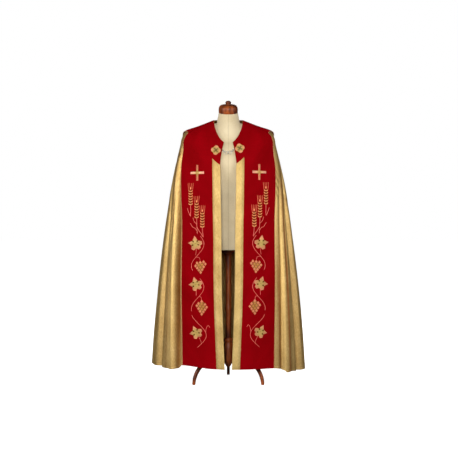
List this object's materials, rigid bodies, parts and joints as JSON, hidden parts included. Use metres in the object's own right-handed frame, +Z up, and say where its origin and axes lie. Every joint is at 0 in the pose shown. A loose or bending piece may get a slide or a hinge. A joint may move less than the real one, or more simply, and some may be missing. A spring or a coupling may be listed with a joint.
{
  "type": "cope vestment on a limbless dress form",
  "caption": "Floor-length open-fronted cope of gold cloth with red front panels, gold bands, hood and chain clasp, worn by a limbless dress form on a wooden tripod stand.",
  "frame": {"origin": "on the floor under the middle of the part's box", "axes": "+Z up, the open front faces -Y, +X to the right as seen from the front"},
  "size_m": [0.8838, 0.5329, 1.601],
  "materials": {
    "gold_cloth": "gold metallic-thread cloth, soft satin shine with a fine grain",
    "gold_band": "pale gold metallic-thread cloth band",
    "gold_piping": "pale gold corded piping",
    "red_cloth": "deep red matt cloth with a short nap",
    "gold_embroidery": "metallic gold thread embroidery",
    "chain_metal": "silver-grey metal wire",
    "canvas": "cream canvas stretched over padding",
    "wood": "reddish brown wood under gloss varnish"
  },
  "bodies": {
    "root": {"cape_left": "gold_cloth", "front_panel_left": "red_cloth", "front_band_left": "gold_band", "piping_left": "gold_piping", "rosette_left": "gold_embroidery", "cape_right": "gold_cloth", "front_panel_right": "red_cloth", "front_band_right": "gold_band", "piping_right": "gold_piping", "rosette_right": "gold_embroidery", "hood": "red_cloth", "chain_1": "chain_metal", "chain_2": "chain_metal", "chain_3": "chain_metal", "chain_4": "chain_metal", "chain_5": "chain_metal", "chain_6": "chain_metal", "chain_7": "chain_metal", "chain_8": "chain_metal", "chain_9": "chain_metal", "form_torso": "canvas", "neck_cap": "wood", "pole": "wood", "hub": "wood", "leg_1": "wood", "leg_2": "wood", "leg_3": "wood"}
  },
  "joints": []
}
